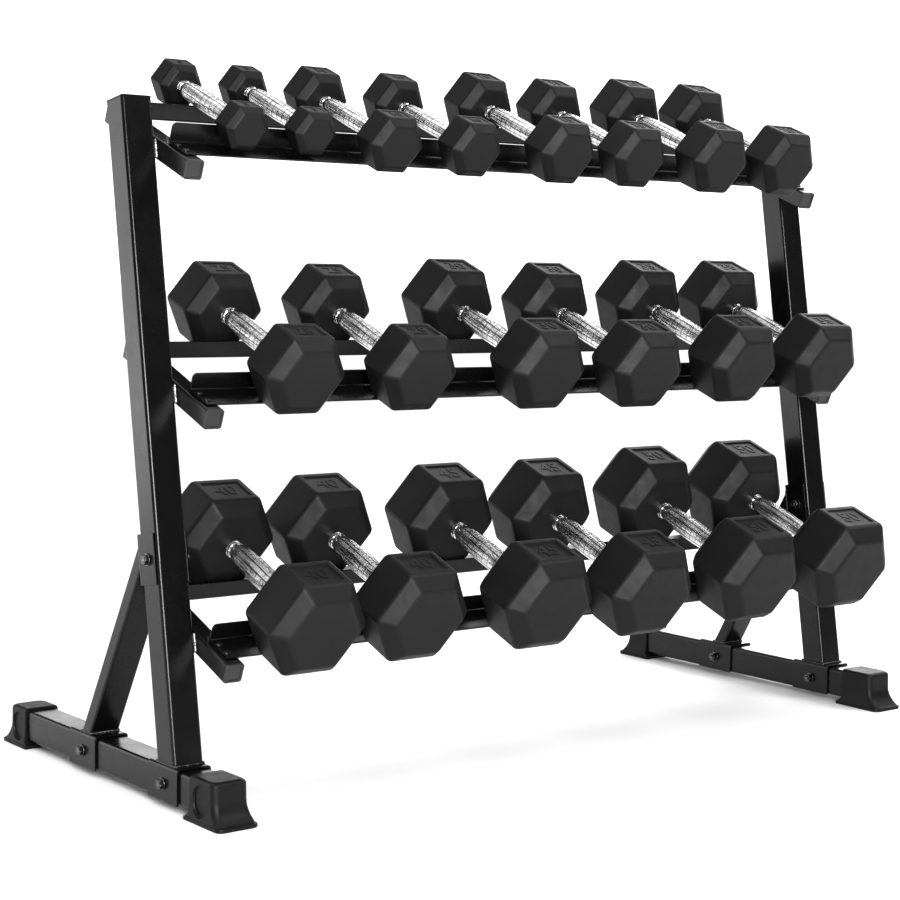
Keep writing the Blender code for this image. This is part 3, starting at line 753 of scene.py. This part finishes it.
def add_brace(word):
    """The brace tube, and the folded bracket that its top is welded to."""
    node = "brace_" + word
    up_span = span(node, UPRIGHT_UP)
    back_span = span("upright_" + word, UPRIGHT_BACK)
    low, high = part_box(node)
    x = (low.x + high.x) / 2
    front_face = back_span[0]
    web_back = front_face + TUBE + GAP + PLATE
    half = BRACKET_HEIGHT / 2
    origin = Vector((x, 0, 0)) + UPRIGHT_BACK * front_face + UPRIGHT_UP * (up_span[1] - half)
    mesh = prism(channel_outline(TUBE / 2 + GAP, PLATE, BRACKET_SETBACK, TUBE + GAP), -half, half)
    add_coated(node, "_bracket", mesh, placed(origin, ACROSS, UPRIGHT_BACK, UPRIGHT_UP), PLATE_EDGE)

    # The tube stands on the rear saddle: its lower rear edge is the node's rearmost reach
    foot_depth = BRACE_DEPTH / math.cos(BRACE_LEAN)
    foot = Vector((x, rearmost_foot(node, low.z) - foot_depth / 2, low.z))
    slope = math.tan(BRACE_LEAN)

    def meets_web(u, v):
        """How far along the brace its wall reaches into the bracket's web."""
        start = foot + BRACE_BACK * v
        return (web_back - 0.0010 - start.dot(UPRIGHT_BACK)) / BRACE_UP.dot(UPRIGHT_BACK)

    outer = rounded_rectangle(TUBE, BRACE_DEPTH, ARM_CORNER)
    inner = rounded_rectangle(TUBE - 2 * BRACE_WALL, BRACE_DEPTH - 2 * BRACE_WALL, ARM_CORNER - BRACE_WALL)
    mesh = prism(outer, lambda u, v: -v * slope, meets_web, inner)
    matrix = placed(foot, ACROSS, BRACE_BACK, BRACE_UP)
    add_coated(node, "_tube", mesh, matrix)

    run_x = TUBE / 2 - 0.0006
    foot_path = [foot + Vector((sx * run_x, sy * (foot_depth / 2 - 0.0002), 0.0004))
                 for sx, sy in CORNER_WAYS]
    add_weld_ring("weld_brace_foot_" + word, foot_path)
    web_path = []
    for sx, sv in CORNER_WAYS:
        u = sx * run_x
        v = sv * (BRACE_DEPTH / 2 - 0.0004)
        web_path.append(foot + ACROSS * u + BRACE_BACK * v + BRACE_UP * (meets_web(u, v) - 0.0012))
    add_weld_ring("weld_brace_top_" + word, web_path)


def rearmost_foot(node, floor):
    """Rearmost reach of a CAD node where it stands on a level."""
    return max(vertex.co.y for vertex in frame["nodes"][node].data.vertices if vertex.co.z < floor + 0.0005)


def add_arms():
    for tier in TIERS:
        for word, side in SIDES.items():
            add_arm(tier, word, side)


def add_arm(tier, word, side):
    node = "arm_" + tier + "_" + word
    middle, size = measured(node, TIER_AXES)
    half = size.y / 2
    mesh = box_tube(ARM, ARM, ARM_WALL, ARM_CORNER, -half, half)
    matrix = placed(middle, LIFT, ACROSS, BACK)
    add_coated(node, "_tube", mesh, matrix)

    cap = "arm_cap_" + tier + "_" + word
    plug = plug_mesh(ARM, ARM_WALL, CAP_PLATE, -ARM_CAP_DISH)
    front = middle - BACK * (half + GAP)
    add_piece(cap + "_plug", plug, placed(front, ACROSS, LIFT, -BACK), PLASTIC, "rack",
              [cap])
    rear = middle + BACK * (half - REAR_CAP_PLATE)
    rear_plug = plug_mesh(ARM - 2 * ARM_WALL - 2 * GAP, 0.0004, REAR_CAP_PLATE, REAR_CAP_DOME)
    add_piece("arm_rear_plug_" + tier + "_" + word, rear_plug, placed(rear, ACROSS, -LIFT, BACK), PLASTIC,
              "rack")

    # Weld beads where the arm's side meets the upright's front and rear edges
    upright = "upright_" + word
    edges = span(upright, UPRIGHT_BACK)
    joint_x = side * (abs(middle.x) + ARM / 2 - 0.0004)
    for place_word, back in (("front", edges[0] + 0.0008), ("rear", edges[0] + TUBE - 0.0008)):
        path = []
        for reach in (-1, 1):
            across_arm = middle.dot(LIFT) + reach * (ARM / 2 - 0.0020)
            # The point on the upright's edge line that lies this far across the arm
            up = (across_arm - UPRIGHT_BACK.dot(LIFT) * back) / UPRIGHT_UP.dot(LIFT)
            path.append(Vector((joint_x, 0, 0)) + UPRIGHT_BACK * back + UPRIGHT_UP * up)
        name = "weld_arm_" + tier + "_" + word + "_" + place_word
        mesh = bead(path, radius=ARM_WELD_RADIUS)
        # The bead's lighter metal colour is a painted highlight for its glints
        add_piece(name, mesh, Matrix.Identity(4), PAINTED_GLINT_WELD, "rack", crease=60)


# ---------------------------------------------------------------- rails

def rail_outline(flange, height):
    """Angle section: the standing flange is at u = 0, and the other runs to +u."""
    thick = RAIL_THICKNESS
    tight = RAIL_BEND - thick + 0.0006
    points = [(flange, 0), (flange, thick)]
    points += arc((thick + tight, thick + tight), tight, 3, 2)
    points += [(thick, height), (0, height)]
    points += arc((RAIL_BEND, RAIL_BEND), RAIL_BEND, 2, 3)
    return points


def rail_end_cutters(half, height):
    """Round off the free corner of the standing flange at both ends."""
    radius = RAIL_END_ROUND
    spare = 0.004
    cutters = []
    for way in (-1, 1):
        outline = arc((half - radius, height - radius), radius, 0, 1)
        outline += [(half - radius, height + spare), (half + spare, height + spare),
                    (half + spare, height - radius)]
        mesh = prism(outline, -spare, RAIL_THICKNESS + spare)
        # Local X of the cutter runs along the rail, and its Y up the standing flange
        matrix = placed(Vector(), UP * way, REAR, ACROSS * -way)
        offset = Matrix.Translation((RAIL_THICKNESS if way > 0 else 0, 0, 0))
        cutters.append((mesh, offset @ matrix))
    return cutters


def add_rails():
    for tier in TIERS:
        for word, way in (("front", -1), ("rear", 1)):
            node = "rail_" + tier + "_" + word
            middle, size = measured(node, TIER_AXES)
            corner = middle - LIFT * size.z / 2 - BACK * way * size.y / 2
            half = size.x / 2
            mesh = carved(prism(rail_outline(size.y, size.z), -half, half), rail_end_cutters(half, size.z))
            matrix = placed(corner, BACK * way, LIFT, ACROSS * way)
            add_coated(node, "_angle", mesh, matrix, RAIL_EDGE)
            add_rail_screws(tier, word, corner, way, size.y)


def add_rail_screws(tier, word, corner, way, flange):
    """Two small domed screws hold each rail end on its arm."""
    screw = dome_screw()
    for side_word in SIDES:
        arm_middle = measured("arm_" + tier + "_" + side_word, TIER_AXES)[0]
        for number, share in enumerate(SCREW_SHARES):
            place = Vector((arm_middle.x, corner.y, corner.z)) + BACK * way * flange * share
            top = place + LIFT * RAIL_THICKNESS
            name = "rail_screw_" + "_".join((tier, word, side_word, str(number + 1)))
            add_piece(name, screw, placed(top, ACROSS, BACK, LIFT), SCREW, "rack")


# ---------------------------------------------------------------- fixings

def dome_screw():
    """Button head with a hexagon socket, standing on z = 0."""
    profile = [(SCREW_RADIUS * 0.96, -0.0006), (SCREW_RADIUS, SCREW_SKIRT)]
    dome = (SCREW_HEIGHT - SCREW_SKIRT) / math.sin(SCREW_DOME)
    for step in range(1, 7):
        angle = step / 6 * SCREW_DOME
        profile.append((SCREW_RADIUS * math.cos(angle), SCREW_SKIRT + dome * math.sin(angle)))
    socket = prism(circle(SCREW_SOCKET, 6), 0.0012, 0.01)
    return carved(turned(profile, 28), [(socket, Matrix.Identity(4))])


def hex_head(across, height):
    """Hexagon head along Z, with its outer corners turned off."""
    levels = ((0, 1.0), (height * 0.78, 1.0), (height, 0.86))
    return finished(stacked([(hexagon(across * share), level) for level, share in levels]), "hex_head")


def washer():
    edge = WASHER_RADIUS - WASHER_EDGE
    bevel = 0.0003
    return turned([(edge, 0.0), (WASHER_RADIUS, bevel), (WASHER_RADIUS, WASHER - bevel), (edge, WASHER)], 36)


def threaded_end(radius, length):
    """Screw thread as close rings that rise and fall."""
    profile = []
    turns = round(length / THREAD_PITCH)
    for turn in range(turns):
        profile.append((radius, turn * THREAD_PITCH))
        profile.append((radius - 0.0006, (turn + 0.5) * THREAD_PITCH))
    profile.append((radius - 0.0004, turns * THREAD_PITCH))
    profile.append((radius - 0.0013, turns * THREAD_PITCH + 0.0007))
    return turned(profile, 24)


def add_frame_bolts():
    for side_word, side in SIDES.items():
        for kind in ("front_saddle_bolt_", "rear_saddle_bolt_", "brace_bolt_"):
            node = kind + side_word
            low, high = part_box(node)
            middle = (low + high) / 2
            out_x = high.x if side > 0 else low.x
            seat = TUBE / 2 + GAP + PLATE + GAP
            beam_x = measured("base_beam_" + side_word, WORLD_AXES)[0].x
            head_height = abs(out_x - beam_x) - seat - WASHER
            down = Matrix.Rotation(math.pi, 4, "X")
            under_nut = Matrix.Translation((0, 0, -seat - WASHER)) @ down
            parts = [
                (washer(), Matrix.Translation((0, 0, seat))),
                (hex_head(BOLT_HEX, head_height), Matrix.Translation((0, 0, seat + WASHER))),
                (washer(), Matrix.Translation((0, 0, -seat)) @ down),
                (hex_head(BOLT_HEX, BOLT_NUT), under_nut),
                (threaded_end(BOLT_RADIUS, BOLT_END), under_nut),
            ]
            matrix = placed(Vector((beam_x, middle.y, middle.z)), REAR * side, UP, ACROSS * side)
            add_piece(node + "_hardware", joined(parts), matrix, STEEL, "rack", [node],
                      0.0003)


# ---------------------------------------------------------------- boots

def boot_outline(half_width, near, far):
    """Level section of a boot: tight corners at the lip and broad ones at the outer end."""
    points = []
    for middle_x, middle_y, radius, start in (
            (half_width, far, BOOT_END_CORNER, 0), (-half_width, far, BOOT_END_CORNER, 1),
            (-half_width, near, BOOT_LIP_CORNER, 2), (half_width, near, BOOT_LIP_CORNER, 3)):
        inward = Vector((-math.copysign(radius, middle_x), -radius if middle_y == far else radius))
        points += arc((middle_x + inward.x, middle_y + inward.y), radius, start, start + 1, 8)
    return points


def boot_mesh(size, grip):
    """Moulded boot. X is across, Y runs from the lip (0) to the outer end, Z is up."""
    body_half = size.x / 2 - BOOT_SIDE_FLARE
    top = size.z
    levels = []
    # The sole's upright side, softened at its lower and upper edges
    for height, inset in ((0.0, 0.0012), (0.0006, 0.0003), (0.0014, 0.0),
                          (BOOT_SOLE - 0.0014, 0.0), (BOOT_SOLE - 0.0004, 0.0004)):
        levels.append((height, BOOT_SIDE_FLARE - inset, BOOT_FLARE - inset, BOOT_HEEL - inset))
    for step in range(BOOT_STEPS + 1):
        along = step / BOOT_STEPS
        height = BOOT_SOLE + (BOOT_FLARE_TOP - BOOT_SOLE) * along
        sweep = (1 - along) ** BOOT_SWEEP
        heel = (BOOT_HEEL - 0.0012) * max(0.0, 1 - along * 7)
        levels.append((height, (BOOT_SIDE_FLARE - 0.0014) * sweep, (BOOT_FLARE - 0.0030) * sweep, heel))
    levels.append((top - BOOT_TOP_ROUND, 0.0, -BOOT_TOP_DRAFT, 0.0))
    for angle in quarter_turn(5)[1:]:
        inset = BOOT_TOP_ROUND * (1 - math.cos(angle))
        height = top - BOOT_TOP_ROUND + BOOT_TOP_ROUND * math.sin(angle)
        levels.append((height, -inset, -BOOT_TOP_DRAFT - inset * 1.5, -inset * 0.12))
    return finished(stacked([(boot_outline(body_half + side_spread, -heel, grip + end_spread), height)
                             for height, side_spread, end_spread, heel in levels]), "boot")


def oval_dish(width, height, depth):
    """Cutter for the shallow oval on the boot's side: a flat floor with sloping walls."""
    outlines = []
    for level, spread in ((0.0, -0.0012), (0.0007, -0.0004), (depth, 0.0002), (depth + 0.02, 0.006)):
        corner = width / 2 + spread - 0.00005
        outline = rounded_rectangle(width + 2 * spread, height + 2 * spread, corner, steps=10)
        outlines.append((outline, level))
    return finished(stacked(outlines), "oval_dish")


def add_boots():
    for end_word, end in (("front", -1), ("rear", 1)):
        for side_word, side in SIDES.items():
            node = "boot_" + end_word + "_" + side_word
            low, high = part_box(node)
            size = high - low
            lip_to_end = size.y - BOOT_HEEL
            grip = lip_to_end - BOOT_FLARE
            lip_y = high.y - lip_to_end if end > 0 else low.y + lip_to_end
            middle_x = (low.x + high.x) / 2
            turn = Matrix.Rotation(0 if end > 0 else math.pi, 4, "Z")
            beam_low, beam_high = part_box("base_beam_" + side_word)
            half = TUBE / 2 + GAP
            pocket_outline = rounded_rectangle(2 * half, beam_high.z - beam_low.z + 2 * GAP, TUBE_CORNER,
                                               (0, (beam_high.z + beam_low.z) / 2))
            pocket = prism(pocket_outline, -0.03, grip - BOOT_STOP)
            pocket_matrix = placed(Vector(), -ACROSS, UP, REAR)
            outward = side if end > 0 else -side
            dish = oval_dish(*BOOT_DISH)
            body_half = size.x / 2 - BOOT_SIDE_FLARE
            dish_place = Vector((outward * (body_half - BOOT_DISH_FLOOR), grip * BOOT_DISH_PLACE,
                                 BOOT_DISH_HEIGHT))
            dish_matrix = placed(dish_place, REAR * outward, UP, ACROSS * outward)
            mesh = carved(boot_mesh(size, grip), [(pocket, pocket_matrix), (dish, dish_matrix)])
            matrix = Matrix.Translation((middle_x, lip_y, 0)) @ turn
            add_piece(node + "_moulding", mesh, matrix, BOOT, "rack", [node], 0.0, 42)


# ---------------------------------------------------------------- dumbbells

def head_mesh(size):
    """Rubber-skinned hexagonal head along Z: flats up and down, chamfered, edges rounded."""
    half = size * HEAD_LENGTH_RATIO / 2
    chamfer = size * HEAD_CHAMFER_RATIO
    small = hexagon(size - 2 * chamfer)
    full = hexagon(size)
    shape = stacked([(small, -half), (full, chamfer - half), (full, half - chamfer), (small, half)])
    bmesh.ops.recalc_face_normals(shape, faces=shape.faces)
    bmesh.ops.bevel(shape, geom=shape.edges[:], offset=size * HEAD_ROUND_RATIO, segments=5, profile=0.5,
                    affect="EDGES", clamp_overlap=True)
    shape.normal_update()
    top = max((face for face in shape.faces if face.normal.y > 0.999), key=lambda face: face.calc_area())
    depth = size * PANEL_RATIO
    bmesh.ops.inset_region(shape, faces=[top], thickness=size * PANEL_BORDER_RATIO, depth=0.0)
    for share, spread in ((0.2, 0.0006), (0.6, 0.0005), (0.2, 0.0006)):
        bmesh.ops.inset_region(shape, faces=[top], thickness=spread, depth=-depth * share)
    return finished(shape, "head")


def handle_profile(grip, gap):
    """Radius and height from the middle of the handle out to its end inside a head."""
    half = gap / 2
    collar_in = half - COLLAR_LENGTH
    grip_end = collar_in - NECK_LENGTH
    tail = grip * GRIP_TAIL_RATIO
    neck = grip * NECK_RATIO
    collar = grip * COLLAR_RATIO
    profile = []
    for step in range(HANDLE_STEPS + 1):
        along = step / HANDLE_STEPS
        profile.append((tail + (grip - tail) * math.cos(along * math.pi / 2), grip_end * along))
    for angle in quarter_turn(5)[1:]:
        profile.append((neck + (tail - neck) * math.cos(angle), grip_end + SHOULDER_LENGTH * math.sin(angle)))
    profile.append((neck, collar_in - 0.0006))
    for angle in quarter_turn(4):
        profile.append((collar - COLLAR_ROUND + COLLAR_ROUND * math.sin(angle),
                        collar_in + COLLAR_ROUND - COLLAR_ROUND * math.cos(angle)))
    # Steps of the groove: distance back from the head, and change of the collar's radius
    profile += [(collar + change, half - back) for back, change in COLLAR_GROOVE]
    profile.append((collar + COLLAR_GROOVE[-1][1], half + HANDLE_SINK))
    return profile


def handle_mesh(grip, gap):
    half = handle_profile(grip, gap)
    profile = [(radius, -height) for radius, height in reversed(half)] + half[1:]
    return turned(profile, HANDLE_SIDES)


def number_mesh(text, height):
    """Raised figures, centred on their origin, lying in XY."""
    curve = bpy.data.curves.new("figures", "FONT")
    curve.body = text
    curve.size = height / CAPITAL_SHARE
    curve.align_x = "CENTER"
    curve.align_y = "CENTER"
    curve.extrude = FIGURE_DEPTH / 2
    curve.bevel_depth = 0.00025
    curve.bevel_resolution = 1
    curve.resolution_u = 6
    obj = bpy.data.objects.new("figures", curve)
    SCENE.collection.objects.link(obj)
    mesh = evaluated(obj)
    bpy.data.curves.remove(curve)
    return mesh


def dumbbell_meshes(node, weight):
    """Heads, handle and figures of one size, along local Z with a flat facing +Y."""
    middle, size = measured(node, TIER_AXES)
    flats = size.z
    length = flats * HEAD_LENGTH_RATIO
    gap = size.y - 2 * length
    reach = gap / 2 + length / 2
    head = head_mesh(flats)
    heads = joined([(head, Matrix.Translation((0, 0, way * reach))) for way in (-1, 1)])
    grip = grip_radius(node, middle)
    handle = handle_mesh(grip, gap)
    height = flats / 2 - flats * PANEL_RATIO + FIGURE_DEPTH * FIGURE_RISE
    figure = number_mesh(str(weight), flats * FIGURE_HEIGHT_RATIO)
    lying = placed(Vector(), -ACROSS, UP, REAR)
    figures = joined([(figure, Matrix.Translation((0, height, way * reach)) @ lying) for way in (-1, 1)])
    return heads, handle, figures


def grip_radius(node, middle):
    """Largest reach of the handle from its axis, measured near the middle of the CAD node."""
    axis_back = middle.dot(BACK)
    reaches = []
    for vertex in frame["nodes"][node].data.vertices:
        if abs(vertex.co.dot(BACK) - axis_back) < 0.002:
            across = vertex.co.x - middle.x
            above = vertex.co.dot(LIFT) - middle.dot(LIFT)
            reaches.append(math.hypot(across, above))
    return max(reaches)


def add_dumbbells():
    for tier in TIERS:
        for index in range(TIER_COUNTS[tier]):
            node = "dumbbell_" + tier + "_" + str(index + 1)
            if index % 2 == 0:
                pair = LIGHTEST_PAIR[tier] + index // 2
                heads, handle, figures = dumbbell_meshes(node, FIRST_WEIGHT + WEIGHT_STEP * pair)
            middle = measured(node, TIER_AXES)[0]
            matrix = placed(middle, -ACROSS, LIFT, BACK)
            add_piece(node + "_heads", heads, matrix, HEAD, node, [node], 0.0, 60)
            add_piece(node + "_handle", handle, matrix, CHROME, node, [node], 0.0, 50)
            add_piece(node + "_figures", figures, matrix, HEAD, node, [node], 0.0, 40)


# ---------------------------------------------------------------- studio

def add_floor():
    shape = bmesh.new()
    bmesh.ops.create_grid(shape, x_segments=24, y_segments=24, size=60)
    mesh = finished(shape, "floor")
    mesh.materials.append(floor_paint())
    floor = bpy.data.objects.new("studio_floor", mesh)
    SCENE.collection.objects.link(floor)


def add_world():
    """Soft surroundings: a bright backdrop behind the rack with a brighter band above the
    horizon, stronger towards the right, and a round glow above it. They only light the rack
    and show in its gloss; seen directly, the background is plain white all round.
    """
    SCENE.world = bpy.data.worlds.new("studio")
    nodes = Nodes(SCENE.world, "Background")
    toward = nodes.add("ShaderNodeTexCoord").outputs["Generated"]
    right, _, up = nodes.add("ShaderNodeSeparateXYZ", Vector=toward).outputs
    facing_wall = nodes.facing(toward, BACKDROP_DIRECTION)
    behind = nodes.range(facing_wall, 0.78, 0.96, 0.0, 1.0, "SMOOTHSTEP")
    low_down = nodes.range(up, 0.25, 0.40, 1.0, 0.0, "SMOOTHSTEP")
    raised = nodes.range(up, 0.10, 0.17, 0.0, 1.0, "SMOOTHSTEP")
    sideways = nodes.range(right, 0.38, 0.80, *BAND_GLOWS, "SMOOTHSTEP")
    bright = nodes.math("ADD", nodes.math("MULTIPLY", raised, sideways), BACKDROP_GLOW)
    wall = nodes.math("MULTIPLY", nodes.math("MULTIPLY", low_down, bright), behind)
    facing_glow = nodes.facing(toward, UPPER_DIRECTION)
    upper = nodes.range(facing_glow, 0.945, 0.99, ROOM_GLOW, UPPER_GLOW, "SMOOTHSTEP")
    seen = nodes.add("ShaderNodeLightPath").outputs["Is Camera Ray"]
    plain = nodes.math("MULTIPLY", seen, BACKGROUND_SEEN)
    strength = nodes.math("MAXIMUM", plain, nodes.math("ADD", wall, upper))
    nodes.shaded(Color=(1, 1, 1, 1), Strength=strength)


def add_light(name, place, target, size, power):
    data = bpy.data.lights.new(name, "AREA")
    data.shape = "RECTANGLE"
    data.size, data.size_y = size
    data.energy = power
    light = bpy.data.objects.new(name, data)
    light.location = place
    light.rotation_euler = (Vector(target) - Vector(place)).to_track_quat("-Z", "Y").to_euler()
    SCENE.collection.objects.link(light)


def add_studio_lights():
    """Even, very soft light from straight above, and the softboxes."""
    data = bpy.data.lights.new("ceiling", "SUN")
    data.energy = CEILING_POWER
    data.angle = CEILING_SPREAD
    SCENE.collection.objects.link(bpy.data.objects.new("ceiling", data))
    for settings in STUDIO_LIGHTS:
        add_light(*settings)


def add_camera():
    """The camera stands in front and to the left of the rack, a little tilted."""
    forward = Vector((math.sin(YAW) * math.cos(PITCH), math.cos(YAW) * math.cos(PITCH), -math.sin(PITCH)))
    level_right = Vector((math.cos(YAW), -math.sin(YAW), 0))
    level_up = level_right.cross(forward)
    right = level_right * math.cos(ROLL) + level_up * math.sin(ROLL)
    up = level_up * math.cos(ROLL) - level_right * math.sin(ROLL)
    data = bpy.data.cameras.new("camera")
    data.lens = LENS
    data.sensor_width = SENSOR
    camera = bpy.data.objects.new("camera", data)
    camera.matrix_world = placed(Vector(CAMERA_PLACE), right, up, -forward)
    SCENE.collection.objects.link(camera)
    SCENE.camera = camera


COAT = powder_coat("powder_coat_black", 0.22, 0.30, 0.38)
WELD = powder_coat("powder_coat_over_weld", 0.12, 0.20, 0.9)
PLASTIC = moulded_plastic()
BOOT = boot_rubber()
STEEL = rubbed_steel("bolt_black_oxide", 0.07, 0.26, 0.14)
# Arm welds: thinly coated, with a lighter metal colour that is a painted highlight for their glints
PAINTED_GLINT_WELD = rubbed_steel("weld_metal_painted_glint", 0.18, 0.60, 0.22)
SCREW = rubbed_steel("screw_black_oxide", 0.03, 0.09, 0.34)
HEAD = head_rubber()
CHROME = knurled_chrome()

add_uprights_and_bases()
add_arms()
add_rails()
add_frame_bolts()
add_boots()
add_dumbbells()
add_floor()
add_world()
add_studio_lights()
add_camera()
SCENE.view_settings.view_transform = "Standard"
SCENE.view_settings.gamma = CONTRAST
